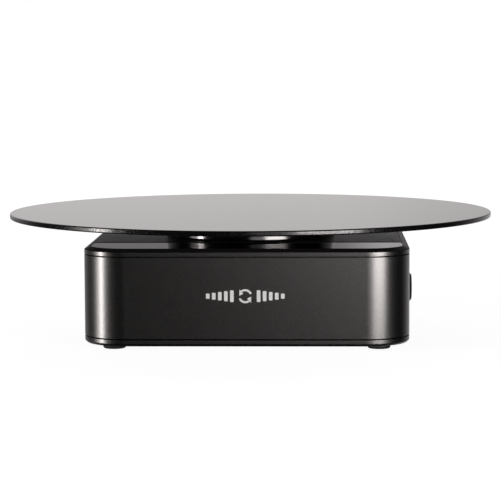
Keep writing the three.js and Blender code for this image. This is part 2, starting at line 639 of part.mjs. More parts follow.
function makeBottomCover() {
  const top = LOWER_GROOVE[0];
  const chamferTop = FEET_HEIGHT + BOTTOM_CHAMFER;
  const pocketTop = FEET_HEIGHT + FOOT.pocket;
  const { head, headHeight, shank, length } = FINE_SCREW;
  const plate = stackedSquares([
    [HOUSING_HALF - BOTTOM_CHAMFER, HOUSING_CORNER - BOTTOM_CHAMFER, FEET_HEIGHT],
    [HOUSING_HALF, HOUSING_CORNER, chamferTop], [HOUSING_HALF, HOUSING_CORNER, top],
  ]);
  let cover = union(plate, locatingBars([top - 0.5, top + 2]));
  cover = cover.subtract(rod(BUSH.barrel + 0.15, [0, top + OVERCUT]));
  const headFace = pocketTop + 0.1;
  for (const [place, sx, sy] of corners) {
    const [x, y] = [sx * POST.at, sy * POST.at];
    const hole = union(
      rod(FOOT.radius + 0.15, [0, pocketTop], SMALL),
      countersink([headFace - 0.2, head + 0.35], [headFace + headHeight, shank + 0.15], SCREW_SIDES),
      rod(shank + 0.15, [0, top + OVERCUT], SCREW_SIDES),
    );
    cover = cover.subtract(at(hole, x, y));
    const size = { head, headHeight, shank, length };
    const screw = add(housing, `bottom_screw_${place}`, blackSteel, countersunkScrew(size));
    screw.rotation.x = Math.PI;
    screw.position.set(x, y, headFace);
    add(housing, `foot_${place}`, rubber, footBody()).position.set(x, y, 0);
  }
  add(housing, "bottom_cover", anodised, cover);
}

function footBody() {
  const { radius, edge } = FOOT;
  const top = FEET_HEIGHT + FOOT.pocket - 0.1;
  return turned([
    [0, 0], [radius - edge, 0], [radius - edge * 0.3, edge * 0.3], [radius, edge],
    [radius, top], [0, top],
  ], SMALL);
}

function makeTripodBush() {
  const floor = LOWER_GROOVE[0] + 0.1;
  const { bore, barrel, flange, top, depth } = BUSH;
  const body = turned([
    [0, FEET_HEIGHT + 0.2], [barrel, FEET_HEIGHT + 0.2], [barrel, floor], [flange, floor],
    [flange, floor + 2.2], [barrel, floor + 2.2], [barrel, top], [0, top],
  ]);
  add(housing, "tripod_bush", brass, cut(body, rod(bore, [0, FEET_HEIGHT + depth])));
}

// ---------------------------------------------------------------- electrics

function makeBoard() {
  const outline = [[16, 16], [34, 10], [34, -38], [57, -38], [57, 44], [45, 44], [45, 58], [16, 58]];
  let board = prism(outline, [BOARD.bottom, BOARD.top]);
  const span = [BOARD.bottom - OVERCUT, BOARD.top + OVERCUT];
  const hole = rod(BOARD_SCREW.shank + 0.35, span, SCREW_SIDES);
  boardScrewPlaces.forEach(([x, y], i) => {
    board = board.subtract(at(hole, x, y));
    const screw = add(inside, `board_screw_${i + 1}`, blackSteel, panScrew(BOARD_SCREW));
    screw.position.set(x, y, BOARD.top + SEAT);
  });
  add(inside, "circuit_board", boardGreen, board);
}

function makeUsbSocket() {
  const [front, back] = [SOCKET_FRONT, SOCKET_FRONT - USB.length];
  const [halfWidth, halfHeight, skin] = [USB.width / 2, USB.height / 2, USB.skin];
  const shell = roundedBar([-halfWidth, halfWidth], [-halfHeight, halfHeight], [back, front], 1.4);
  const mouth = roundedBar([-halfWidth + skin, halfWidth - skin],
    [-halfHeight + skin, halfHeight - skin], [back + 1.5, front + OVERCUT], 1.1);
  const tongue = block([-halfWidth + 1.2, halfWidth - 1.2], [-USB.tongue / 2, USB.tongue / 2],
    [back + 1, front - 1]);
  const socket = union(cut(shell, mouth), tongue).rotate([-90, 0, 0]);
  add(inside, "usb_socket", steel, at(socket, USB.x, 0, USB.z));
}

function makeSyncJack() {
  const [wall, back] = [HOUSING_HALF - WALL - 0.8, SOCKET_FRONT - JACK.length];
  const halfHeight = JACK.z - BOARD.top - 0.1;
  const body = block([JACK.x - JACK.bodyHalf, JACK.x + JACK.bodyHalf], [back, wall],
    [JACK.z - halfHeight, JACK.z + halfHeight]);
  const nose = at(alongY(rod(JACK.nose, [wall - OVERCUT, SOCKET_FRONT], SMALL)), JACK.x, 0, JACK.z);
  const hole = at(alongY(rod(JACK.hole, [back + 1, SOCKET_FRONT + OVERCUT], SMALL)), JACK.x, 0, JACK.z);
  add(inside, "sync_jack", plastic, cut(union(body, nose), hole));
}

function makePortPlate() {
  const { x, z, halfWidth, halfHeight, thickness } = PORT_PLATE;
  const front = HOUSING_HALF - 0.1;
  const plate = block([x - halfWidth, x + halfWidth], [front - thickness, front],
    [z - halfHeight, z + halfHeight]);
  add(housing, "port_plate", plastic, cut(plate, portOpenings([front - 3, front + OVERCUT], 0.25)));
}

function makeBattery() {
  const { x, y, z, edge } = BATTERY;
  const pack = roundedBar([-z[1], -z[0]], y, x, edge).rotate([0, 90, 0]);
  add(inside, "battery_pack", shrinkWrap, pack);
}

function makeLeads() {
  const lift = BOARD.top + 1.4;
  const motorExit = MOTOR_X + MOTOR.radius + 0.4;
  add(inside, "motor_lead", leadRed, lead([
    [motorExit, MOTOR_Y, 9], [2, MOTOR_Y, 9], [10, 31, 10], [12, 30, 14],
    [12.4, 30, 18.5], [15.5, 30, lift + 0.5], [21, 30, lift],
  ], LEAD_RADIUS));
  const batteryEnd = BATTERY.x[1] + 0.4;
  add(inside, "battery_lead", leadRed, lead([
    [batteryEnd, -46, 16], [27, -46, 17], [34, -43.5, 20.2], [42, -38, lift + 0.4],
    [48, -30, lift + 0.2], [49, -20, lift],
  ], LEAD_RADIUS));
}

// ---------------------------------------------------------------- power button

function makeButton() {
  const control = subassembly(0, BUTTON.y, BUTTON.z);
  const { radius, proud, chamfer, stem } = BUTTON;
  const { reach, thickness, behind } = BUTTON_FLANGE;
  const face = HOUSING_HALF + proud;
  const wallInside = HOUSING_HALF - WALL;
  const stemEnd = wallInside - 3.4;
  const [flangeBack, flangeFront] = [wallInside - behind - thickness, wallInside - behind];
  add(control, "power_button", plastic, alongX(turned([
    [0, stemEnd], [stem, stemEnd], [stem, flangeBack], [radius + reach, flangeBack],
    [radius + reach, flangeFront], [radius, flangeFront], [radius, face - chamfer],
    [radius - chamfer, face], [0, face],
  ])));
  const bezelInner = radius + 0.25;
  const bezelSpan = [wallInside + 0.4, HOUSING_HALF + 0.3];
  add(control, "button_bezel", turnedBlack, alongX(tube(bezelInner, BEZEL_OUTER, bezelSpan)));
  const plunger = stemEnd - 0.75;
  const foot = BOARD.top - BUTTON.z + SEAT;
  const switchBody = union(
    block([plunger - 4.5, plunger - 0.8], [-3, 3], [foot, foot + 3.6]),
    alongX(rod(1.1, [plunger - 2, plunger], SCREW_SIDES)),
  );
  add(control, "button_switch", blackSteel, switchBody);
}

// ---------------------------------------------------------------- assembly

makeGlassDisc();
makeHub();
makeOutputShaft();
makeBearing("upper_bearing", housing, UPPER_BEARING);
makeBearing("lower_bearing", inside, LOWER_BEARING);
makeOutputGear();
makeIdler();
makeMotor();
makeChassis();
makeStandoffs();
makeSleeve();
makeTopCover();
makeBottomCover();
makeTripodBush();
makeBoard();
makeUsbSocket();
makeSyncJack();
makePortPlate();
makeBattery();
makeLeads();
makeButton();

export default turntable;
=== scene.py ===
"""The looks of a motorised photo turntable: a black glass disc on a turned hub over a low,
rounded-square, black anodised base. Lengths are in metres unless a comment says otherwise, in
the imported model's frame: +Z up, -Y the front, the origin on the floor under the disc's axis."""

import json
import math

import bmesh
import bpy
from mathutils import Matrix, Vector


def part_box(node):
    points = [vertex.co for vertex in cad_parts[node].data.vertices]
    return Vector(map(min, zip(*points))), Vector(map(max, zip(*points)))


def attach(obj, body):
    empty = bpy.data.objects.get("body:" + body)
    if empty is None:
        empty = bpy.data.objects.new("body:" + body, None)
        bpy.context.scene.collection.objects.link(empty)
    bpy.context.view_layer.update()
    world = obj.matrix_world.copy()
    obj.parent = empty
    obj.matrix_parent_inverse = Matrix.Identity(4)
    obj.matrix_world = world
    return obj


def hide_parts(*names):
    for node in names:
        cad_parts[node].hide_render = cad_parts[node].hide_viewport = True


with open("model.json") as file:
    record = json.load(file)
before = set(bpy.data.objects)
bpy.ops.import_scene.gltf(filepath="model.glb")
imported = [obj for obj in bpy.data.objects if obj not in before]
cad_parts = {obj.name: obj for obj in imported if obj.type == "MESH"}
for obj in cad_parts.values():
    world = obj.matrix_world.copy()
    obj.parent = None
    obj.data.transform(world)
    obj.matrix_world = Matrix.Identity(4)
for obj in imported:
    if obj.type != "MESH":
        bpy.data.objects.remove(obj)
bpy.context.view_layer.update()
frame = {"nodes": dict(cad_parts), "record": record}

MM = 0.001

# ---------------------------------------------------------------- camera

IMAGE_SIDE = 500
FOCAL_PIXELS = 2064.2
SENSOR = 36.0  # millimetres
CAMERA_AT = Vector((28.6, -861.0, 117.7)) * MM
YAW, PITCH, ROLL = math.radians(1.918), math.radians(-5.566), math.radians(-0.248)


def make_camera():
    data = bpy.data.cameras.new("camera")
    data.sensor_width = SENSOR
    data.lens = SENSOR * FOCAL_PIXELS / IMAGE_SIDE
    data.clip_start = 0.01
    data.clip_end = 100.0
    camera = bpy.data.objects.new("camera", data)
    bpy.context.scene.collection.objects.link(camera)
    aim = Matrix.Rotation(YAW, 3, "Z") @ Matrix.Rotation(math.radians(90) + PITCH, 3, "X")
    turn = (aim @ Matrix.Rotation(ROLL, 3, "Z")).to_4x4()
    camera.matrix_world = Matrix.Translation(CAMERA_AT) @ turn
    bpy.context.scene.camera = camera


make_camera()

# ---------------------------------------------------------------- shader helpers


def map_range(tree, value, start, end, low, high, curve="LINEAR"):
    """Maps a socket's value from start..end to low..high, and holds it within them."""
    node = tree.nodes.new("ShaderNodeMapRange")
    node.interpolation_type = curve
    for name, number in zip(("From Min", "From Max", "To Min", "To Max"),
                            (start, end, low, high)):
        node.inputs[name].default_value = number
    tree.links.new(value, node.inputs["Value"])
    return node.outputs["Result"]


def vector_length(tree, vector):
    node = tree.nodes.new("ShaderNodeVectorMath")
    node.operation = "LENGTH"
    tree.links.new(vector, node.inputs[0])
    return node.outputs["Value"]


class Shader:
    """A Principled material, and short calls that add procedural detail to it."""

    def __init__(self, name, colour, roughness, metallic=0.0, **sockets):
        self.material = bpy.data.materials.new(name)
        self.material.use_nodes = True
        self.tree = self.material.node_tree
        self.surface = self.tree.nodes["Principled BSDF"]
        self.surface.inputs["Base Color"].default_value = (*colour, 1.0)
        self.surface.inputs["Roughness"].default_value = roughness
        self.surface.inputs["Metallic"].default_value = metallic
        for socket, value in sockets.items():
            self.surface.inputs[socket.replace("_", " ")].default_value = value
        self.place = self.tree.nodes.new("ShaderNodeTexCoord").outputs["Object"]
        self.normal = None

    def link(self, source, target):
        self.tree.links.new(source, target)

    def stretched(self, scale):
        """Object coordinates scaled differently along each axis."""
        mapping = self.tree.nodes.new("ShaderNodeMapping")
        mapping.inputs["Scale"].default_value = scale
        self.link(self.place, mapping.inputs["Vector"])
        return mapping.outputs["Vector"]

    def noise(self, size, detail=2.0, vector=None):
        """Noise whose blobs are about size metres across before any stretching."""
        node = self.tree.nodes.new("ShaderNodeTexNoise")
        node.inputs["Scale"].default_value = 1.0 / size
        node.inputs["Detail"].default_value = detail
        self.link(vector or self.place, node.inputs["Vector"])
        return node.outputs["Fac"]

    def ranged(self, value, low, high):
        """Spreads noise, which mostly lies between 0.3 and 0.7, from low to high."""
        return map_range(self.tree, value, 0.3, 0.7, low, high)

    def vary_roughness(self, value, low, high):
        self.link(self.ranged(value, low, high), self.surface.inputs["Roughness"])
        return self

    def vary_colour(self, value, dark, light):
        mix = self.tree.nodes.new("ShaderNodeMix")
        mix.data_type = "RGBA"
        mix.inputs["A"].default_value = (*dark, 1.0)
        mix.inputs["B"].default_value = (*light, 1.0)
        self.link(self.ranged(value, 0.0, 1.0), mix.inputs["Factor"])
        self.link(mix.outputs["Result"], self.surface.inputs["Base Color"])
        return self

    def bump(self, value, depth, strength):
        """Raises the surface by up to depth metres, on top of any earlier bump."""
        node = self.tree.nodes.new("ShaderNodeBump")
        node.inputs["Distance"].default_value = depth
        node.inputs["Strength"].default_value = strength
        self.link(value, node.inputs["Height"])
        if self.normal:
            self.link(self.normal, node.inputs["Normal"])
        self.normal = node.outputs["Normal"]
        self.link(self.normal, self.surface.inputs["Normal"])
        return self


# ---------------------------------------------------------------- materials


def black_glass():
    """Polished black glass, its gloss slightly uneven from wiping."""
    glass = Shader("black_glass", (0.0012, 0.0012, 0.0014), 0.03, IOR=1.5)
    wiping = glass.noise(14 * MM, 3.0, glass.stretched((1.0, 0.35, 1.0)))
    glass.vary_roughness(wiping, 0.02, 0.045)
    return glass.material


def ground_glass_edge():
    """The ground and polished edge of the disc: fairly glossy, wavy, with tiny chips."""
    edge = Shader("ground_glass_edge", (0.0035, 0.0035, 0.0037), 0.08, IOR=1.52)
    chips = edge.noise(0.7 * MM, 3.0)
    waves = edge.noise(4 * MM, 2.0)
    edge.vary_roughness(chips, 0.1, 0.3).bump(waves, 0.06 * MM, 0.5)
    edge.bump(chips, 0.04 * MM, 0.8)
    return edge.material


def anodised():
    """Bead-blasted aluminium, anodised black: satin, with a fine even grain."""
    skin = Shader("anodised_black", (0.14, 0.138, 0.137), 0.32, metallic=1.0)
    grain = skin.noise(0.16 * MM, 2.0)
    blast = skin.noise(0.55 * MM, 2.0)
    skin.vary_colour(blast, (0.124, 0.1225, 0.121), (0.15, 0.148, 0.1465))
    skin.vary_roughness(blast, 0.28, 0.335).bump(blast, 0.02 * MM, 0.14)
    skin.bump(grain, 0.012 * MM, 0.2)
    return skin.material


def shaded_bevel():
    """The anodised bevel round the top, darker than the rest of the housing: its darker colour is
    painted shade from the disc above it.
    """
    bevel = Shader("shaded_bevel", (0.08, 0.078, 0.078), 0.42, metallic=0.9)
    bevel.vary_roughness(bevel.noise(2 * MM, 3.0), 0.38, 0.46)
    return bevel.material


def gloss_panel():
    """Mirror-gloss black panel."""
    panel = Shader("gloss_black", (0.0015, 0.0015, 0.0016), 0.03, IOR=1.5)
    panel.vary_roughness(panel.noise(11 * MM, 3.0), 0.02, 0.04)
    return panel.material


def satin_panel():
    """Satin black coating, slightly warm, with a very fine orange peel."""
    panel = Shader("satin_black", (0.008, 0.0068, 0.0060), 0.34, IOR=1.33)
    peel = panel.noise(0.3 * MM, 2.0)
    panel.vary_roughness(panel.noise(6 * MM, 3.0), 0.32, 0.37).bump(peel, 0.01 * MM, 0.3)
    return panel.material


def turned_metal():
    """Turned, glossy black anodised aluminium, with its lathe marks."""
    metal = Shader("turned_black", (0.15, 0.147, 0.147), 0.3, metallic=1.0,
                   Anisotropic=0.8, Anisotropic_Rotation=0.25)
    tangent = metal.tree.nodes.new("ShaderNodeTangent")
    tangent.axis = "Z"
    metal.link(tangent.outputs["Tangent"], metal.surface.inputs["Tangent"])
    marks = metal.noise(0.12 * MM, 1.0, metal.stretched((0.01, 0.01, 1.0)))
    metal.vary_roughness(marks, 0.2, 0.26).bump(marks, 0.004 * MM, 0.4)
    return metal.material


def rubber():
    """Matt moulded rubber with a fine spark-eroded texture and a little dust."""
    skin = Shader("rubber", (0.006, 0.006, 0.006), 0.75)
    grain = skin.noise(0.25 * MM, 3.0)
    skin.vary_colour(skin.noise(1.8 * MM, 4.0), (0.008, 0.008, 0.008), (0.018, 0.018, 0.017))
    skin.vary_roughness(grain, 0.62, 0.85).bump(grain, 0.03 * MM, 0.5)
    return skin.material


def moulded_plastic():
    """Black moulded plastic with a fine spark-eroded texture."""
    skin = Shader("black_plastic", (0.016, 0.016, 0.017), 0.42)
    grain = skin.noise(0.22 * MM, 3.0)
    skin.vary_roughness(grain, 0.36, 0.5).bump(grain, 0.015 * MM, 0.4)
    return skin.material


def printed_white():
    """Screen-printed white ink."""
    ink = Shader("printed_white", (0.86, 0.86, 0.85), 0.45)
    ink.vary_colour(ink.noise(0.5 * MM, 3.0), (0.92, 0.92, 0.91), (0.97, 0.97, 0.96))
    ink.bump(ink.noise(0.2 * MM), 0.005 * MM, 0.3)
    return ink.material


def brushed(name, dark, light, low, high, grain=0.3 * MM):
    """Machined metal, bare or blackened: fine lines and a slightly uneven gloss."""
    metal = Shader(name, light, high, metallic=1.0)
    lines = metal.noise(grain, 3.0, metal.stretched((1.0, 1.0, 0.08)))
    metal.vary_colour(lines, dark, light).vary_roughness(lines, low, high)
    metal.bump(lines, 0.004 * MM, 0.3)
    return metal.material


def moulded(name, dark, light, low, high, grain=0.4 * MM):
    """Any other moulded or coated piece: slight mottling and a fine grain."""
    skin = Shader(name, light, high)
    mottle = skin.noise(grain * 8, 3.0)
    fine = skin.noise(grain, 2.0)
    skin.vary_colour(mottle, dark, light).vary_roughness(fine, low, high)
    skin.bump(fine, 0.01 * MM, 0.3)
    return skin.material


MATERIALS = {
    "disc_glass": black_glass(),
    "turned_black": turned_metal(),
    "anodised_black": anodised(),
    "gloss_black": gloss_panel(),
    "satin_black": satin_panel(),
    "rubber": rubber(),
    "black_plastic": moulded_plastic(),
    "steel": brushed("steel", (0.5, 0.5, 0.51), (0.66, 0.66, 0.67), 0.22, 0.34),
    "black_steel": brushed("black_steel", (0.03, 0.03, 0.033), (0.06, 0.06, 0.064), 0.3, 0.45),
    "brass": brushed("brass", (0.6, 0.44, 0.2), (0.76, 0.58, 0.3), 0.22, 0.36),
    "plate_aluminium": brushed("plate_aluminium", (0.55, 0.56, 0.57), (0.7, 0.7, 0.71), 0.3, 0.45),
    "acetal": moulded("acetal", (0.74, 0.73, 0.69), (0.84, 0.83, 0.79), 0.4, 0.55),
    "board": moulded("board", (0.012, 0.09, 0.04), (0.02, 0.13, 0.06), 0.35, 0.5),
    "battery_wrap": moulded("battery_wrap", (0.03, 0.12, 0.32), (0.05, 0.17, 0.42), 0.25, 0.4),
    "adhesive": moulded("adhesive", (0.01, 0.01, 0.01), (0.02, 0.02, 0.02), 0.6, 0.8),
    "lead_sleeve": moulded("lead_sleeve", (0.3, 0.015, 0.01), (0.42, 0.03, 0.02), 0.35, 0.5),
    "mark_white": printed_white(),
}
EDGE_GLASS = ground_glass_edge()
# the bevel's darker material stands for painted shade from the disc above it
BEVEL = shaded_bevel()


def dress_cad_nodes():
    """Gives every CAD node its slot's material. The nodes that no piece replaces keep it."""
    slots = {row["node"]: row["material_slot"] for row in frame["record"]["subparts"]}
    for name, node in frame["nodes"].items():
        material = MATERIALS[slots[name]]
        for holder in node.material_slots:
            holder.link = "OBJECT"
            holder.material = material


# ---------------------------------------------------------------- mesh helpers


def fillet(corners, steps=4):
    """A polyline whose corners [x, y, radius] are rounded; the first and last stay sharp."""
    points = [Vector(corners[0][:2])]
    for before, corner, after in zip(corners, corners[1:], corners[2:]):
        here = Vector(corner[:2])
        radius = corner[2] if len(corner) > 2 else 0.0
        if radius == 0.0:
            points.append(here)
            continue
        start = here + (Vector(before[:2]) - here).normalized() * radius
        end = here + (Vector(after[:2]) - here).normalized() * radius
        for step in range(steps + 1):
            t = step / steps
            points.append((1 - t) ** 2 * start + 2 * t * (1 - t) * here + t * t * end)
    points.append(Vector(corners[-1][:2]))
    return points


def circle(radius, height, sides):
    angles = (2 * math.pi * i / sides for i in range(sides))
    return [Vector((radius * math.cos(a), radius * math.sin(a), height)) for a in angles]


def rounded_rectangle(half_x, half_y, corner, height, steps=16):
    ring = []
    for quarter, (sx, sy) in enumerate(((1, 1), (-1, 1), (-1, -1), (1, -1))):
        centre = Vector((sx * (half_x - corner), sy * (half_y - corner), height))
        for step in range(steps + 1):
            angle = math.pi / 2 * (quarter + step / steps)
            ring.append(centre + corner * Vector((math.cos(angle), math.sin(angle), 0)))
    return ring


def skin(name, rings, materials, closed=False, paint=None):
    """Joins rings of equal length into a mesh. A closed one meets itself, an open one is
    capped. paint(i) is the material index of the band above ring i."""
    mesh = bpy.data.meshes.new(name)
    count = len(rings[0])
    points = [point for ring in rings for point in ring]
    faces, indices = [], []
    bands = len(rings) if closed else len(rings) - 1
    for band in range(bands):
        low, high = band * count, (band + 1) % len(rings) * count
        for i in range(count):
            j = (i + 1) % count
            faces.append((low + i, low + j, high + j, high + i))
            indices.append(paint(band) if paint else 0)
    if not closed:
        top = (len(rings) - 1) * count
        faces += [tuple(reversed(range(count))), tuple(range(top, top + count))]
        indices += [0, 0]
    mesh.from_pydata(points, [], faces)
    for material in materials:
        mesh.materials.append(material)
    mesh.polygons.foreach_set("material_index", indices)
    return link_mesh(name, mesh)


def link_mesh(name, mesh):
    """Merges a mesh's doubled points, turns its faces outwards and puts it in the scene."""
    clean = bmesh.new()
    clean.from_mesh(mesh)
    bmesh.ops.remove_doubles(clean, verts=clean.verts, dist=1e-7)
    bmesh.ops.recalc_face_normals(clean, faces=clean.faces)
    clean.to_mesh(mesh)
    clean.free()
    obj = bpy.data.objects.new(name, mesh)
    bpy.context.scene.collection.objects.link(obj)
    return obj


def revolve(name, corners, material, sides=96, closed=False, extra=(), paint=None, steps=4):
    """Turns a profile of [radius, height, fillet] round Z. paint(start, end) is the material
    index of the band between two neighbouring points of the profile."""
    profile = fillet(corners, steps)
    if closed:
        profile = profile[:-1]
    rings = [circle(max(point.x, 1e-6), point.y, sides) for point in profile]
    band_paint = None
    if paint:
        def band_paint(i):
            return paint(profile[i], profile[(i + 1) % len(profile)])
    return skin(name, rings, [material, *extra], closed, band_paint)


def rod(radius, low, high, material, sides=96):
    """A cylinder on Z between two heights, to cut a hole with."""
    corners = [(0, low), (radius, low), (radius, high), (0, high)]
    return revolve("rod", corners, material, sides)


def cut(piece, cutters):
    """Subtracts the cutters from a piece, then removes them."""
    for cutter in cutters:
        modifier = piece.modifiers.new("cut", "BOOLEAN")
        modifier.operation = "DIFFERENCE"
        modifier.solver = "EXACT"
        modifier.object = cutter
    settle(piece)
    for cutter in cutters:
        bpy.data.objects.remove(cutter)


def settle(piece):
    """Replaces a piece's mesh by the result of its modifiers."""
    bpy.context.view_layer.update()
    graph = bpy.context.evaluated_depsgraph_get()
    mesh = bpy.data.meshes.new_from_object(piece.evaluated_get(graph))
    piece.modifiers.clear()
    piece.data = mesh


def bevel(piece, width):
    """Breaks a piece's sharp edges."""
    modifier = piece.modifiers.new("edges", "BEVEL")
    modifier.width = width
    modifier.segments = 2
    modifier.limit_method = "ANGLE"
    modifier.angle_limit = math.radians(50)
    settle(piece)


def smooth(piece):
    """Smooth shading whose flat faces stay flat."""
    piece.data.shade_smooth()
    piece.data.set_sharp_from_angle(angle=math.radians(38))
    modifier = piece.modifiers.new("normals", "WEIGHTED_NORMAL")
    modifier.keep_sharp = True
    modifier.weight = 80
    settle(piece)


def place(piece, body, slot, *nodes):
    """A finished piece rides on its body and stands for its CAD nodes. Its slot is not used."""
    smooth(piece)
    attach(piece, body)
    if nodes:
        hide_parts(*nodes)


def move(piece, matrix):
    piece.data.transform(matrix)
    return piece


ALONG_X = Matrix.Rotation(math.radians(90), 4, "Y")
ALONG_Y = Matrix.Rotation(math.radians(-90), 4, "X")


def centre_of(node):
    low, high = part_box(node)
    return (low + high) / 2


# ---------------------------------------------------------------- disc and hub

GLASS_ARRIS = 0.35 * MM
GLASS_ROUNDING = 0.18 * MM
HUB_BORE = 4 * MM
HUB_HOLLOW_RADII = (18 * MM, 31 * MM)
HUB_HOLLOW_DEPTH = 3 * MM
HUB_EDGE = 0.35 * MM
HUB_LIP = 1.1 * MM  # the step under the glass: its height
HUB_NECK = 1.6 * MM  # and how far it goes in
HUB_TAPER = 0.6 * MM


def make_disc():
    low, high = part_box("glass_disc")
    radius, flat, rounding = high.x, high.x - GLASS_ARRIS, GLASS_ROUNDING
    corners = [
        (0, low.z), (flat, low.z, rounding), (radius, low.z + GLASS_ARRIS, rounding),
        (radius, high.z - GLASS_ARRIS, rounding), (flat, high.z, rounding), (0, high.z),
    ]
    rim = radius - 1.2 * GLASS_ARRIS

    def paint(start, end):
        return 1 if min(start.x, end.x) > rim else 0

    disc = revolve("glass_disc_fine", corners, MATERIALS["disc_glass"], 288,
                   extra=[EDGE_GLASS], paint=paint, steps=3)
    place(disc, "rotor", "disc_glass", "glass_disc")


def make_hub():
    low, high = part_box("turntable_hub")
    radius, neck, shoulder = high.x, high.x - HUB_NECK, high.z - HUB_LIP
    inner, outer = HUB_HOLLOW_RADII
    hollow = low.z + HUB_HOLLOW_DEPTH
    corners = [
        (HUB_BORE, low.z), (inner, low.z), (inner, hollow), (outer, hollow), (outer, low.z),
        (radius, low.z, HUB_EDGE), (radius - HUB_TAPER, shoulder, 0.2 * MM),
        (neck, shoulder, 0.1 * MM), (neck, high.z), (HUB_BORE, high.z), (HUB_BORE, low.z),
    ]
    hub = revolve("turntable_hub_fine", corners, MATERIALS["turned_black"], 192, closed=True)
    place(hub, "rotor", "turned_black", "turntable_hub")


# ---------------------------------------------------------------- housing

CORNER = 17.5 * MM
WALL = 3 * MM
JOINT = 0.4 * MM  # shadow gap above and below the sleeve
FLANGE_HOLE = 16.3 * MM  # in the top cover and the rear plate, round the shaft's flange
TRIPOD_HOLE = 8.15 * MM
COVER_LIP = (2.4 * MM, 0.2 * MM)  # width of the bevel round the top and of the flat inside it
BEVEL_DOWN = 1.3 * MM
RIB = (WALL + 0.1 * MM, WALL + 1.3 * MM)  # inside the sleeve, closes the joint: its two faces
RIB_DEPTH = 1.4 * MM
PANEL_GAP = 0.15 * MM
PANEL_CORNERS = {"front_top_panel": 2 * MM, "rear_top_plate": 0.5 * MM}  # where they meet
BOTTOM_CHAMFER = 0.9 * MM
FOOT_POCKET = 1 * MM
FOOT_PLAY = 0.15 * MM
FOOT_DISH = 0.55  # radius of the dish underneath over the foot's
FOOT_DISH_DEPTH = 0.25 * MM
BEZEL_PLAY = 0.1 * MM
PORT_PLATE_PLAY = 0.12 * MM


def square_rings(profile, half, steps=20):
    """Rounded squares round Z for a profile of [inset, height]."""
    return [
        rounded_rectangle(half - p.x, half - p.x, max(CORNER - p.x, 0.2 * MM), p.y, steps)
        for p in profile
    ]


def make_sleeve():
    low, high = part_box("body_sleeve")
    half, edge = high.x, 0.12 * MM
    profile = fillet([
        (WALL, low.z), (0, low.z, edge), (0, high.z, edge), (WALL, high.z), (WALL, low.z),
    ], 2)[:-1]
    sleeve = skin("body_sleeve_fine", square_rings(profile, half),
                  [MATERIALS["anodised_black"]], closed=True)
    bezel = centre_of("button_bezel")
    bezel_low, bezel_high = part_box("button_bezel")
    hole_radius = (bezel_high.z - bezel_low.z) / 2 + BEZEL_PLAY
    hole = rod(hole_radius, half - 2 * WALL, half + WALL, MATERIALS["anodised_black"])
    move(hole, Matrix.Translation((0, bezel.y, bezel.z)) @ ALONG_X)
    plate_low, plate_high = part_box("port_plate")
    play = PORT_PLATE_PLAY
    size = (plate_high - plate_low) / 2
    middle = (plate_low + plate_high) / 2
    pocket = skin("pocket", [
        rounded_rectangle(size.x + play, size.z + play, 1.5 * MM, z)
        for z in (plate_low.y - 0.3 * MM, half + WALL)
    ], [MATERIALS["anodised_black"]])
    move(pocket, Matrix.Translation((middle.x, 0, middle.z)) @ ALONG_Y)
    wall_hole = skin("wall_hole", [
        rounded_rectangle(size.x - 2 * MM, size.z - 1 * MM, 1 * MM, z)
        for z in (half - 2 * WALL, half - WALL / 3)
    ], [MATERIALS["anodised_black"]])
    move(wall_hole, Matrix.Translation((middle.x, 0, middle.z)) @ ALONG_Y)
    cut(sleeve, [hole, pocket, wall_hole])
    place(sleeve, "base", "anodised_black", "body_sleeve")


def make_top_cover():
    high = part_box("top_cover")[1]
    half = high.x
    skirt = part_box("body_sleeve")[1].z + JOINT
    recess_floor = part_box("rear_top_plate")[0].z - PANEL_GAP
    bevel_low, bevel_in, recess_in = high.z - BEVEL_DOWN, COVER_LIP[0], sum(COVER_LIP)
    hole_in = half - FLANGE_HOLE
    (rib_out, rib_in), rib_foot = RIB, skirt - RIB_DEPTH
    profile = fillet([
        (hole_in, skirt), (rib_in, skirt), (rib_in, rib_foot), (rib_out, rib_foot),
        (rib_out, skirt), (0, skirt, 0.1 * MM), (0, bevel_low, 0.12 * MM),
        (bevel_in, high.z, 0.08 * MM), (recess_in, high.z), (recess_in, recess_floor),
        (hole_in, recess_floor), (hole_in, skirt),
    ], 3)[:-1]
    rings = square_rings(profile, half)

    # the bevel band takes the darker material, painted shade from the disc above
    def paint(band):
        middle = (profile[band] + profile[(band + 1) % len(profile)]) / 2
        return 1 if bevel_low < middle.y < high.z and middle.x < bevel_in * 1.2 else 0

    cover = skin("top_cover_fine", rings, [MATERIALS["anodised_black"], BEVEL], True, paint)
    place(cover, "base", "anodised_black", "top_cover")


def panel_outline(half, corner, front, rear, small):
    """A rounded square's slice between two Y positions, with small corners where it is cut."""
    near = 1e-6
    ring = rounded_rectangle(half, half, corner, 0.0, 20)
    kept = [p.xy for p in ring if front - near <= p.y <= rear + near]
    cut_front = front > -half + near
    line, turn = (front, small) if cut_front else (rear, -small)
    for side in ((-1, 1) if cut_front else (1, -1)):
        kept += [Vector((side * half, line + turn)), Vector((side * (half - small), line))]
    centre = sum(kept, Vector((0, 0))) / len(kept)
    return sorted(kept, key=lambda p: math.atan2(p.y - centre.y, p.x - centre.x))


def make_panels():
    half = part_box("rear_top_plate")[1].x
    corner = CORNER - (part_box("top_cover")[1].x - half)
    for name, slot in (("front_top_panel", "gloss_black"), ("rear_top_plate", "satin_black")):
        low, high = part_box(name)
        outline = panel_outline(half, corner, low.y, high.y, PANEL_CORNERS[name])
        rings = [[Vector((p.x, p.y, z)) for p in outline] for z in (low.z, high.z)]
        panel = skin(name + "_fine", rings, [MATERIALS[slot]])
        if name == "rear_top_plate":
            cut(panel, [rod(FLANGE_HOLE, low.z - MM, high.z + MM, MATERIALS[slot], 128)])
        bevel(panel, 0.08 * MM)
        place(panel, "base", slot, name)


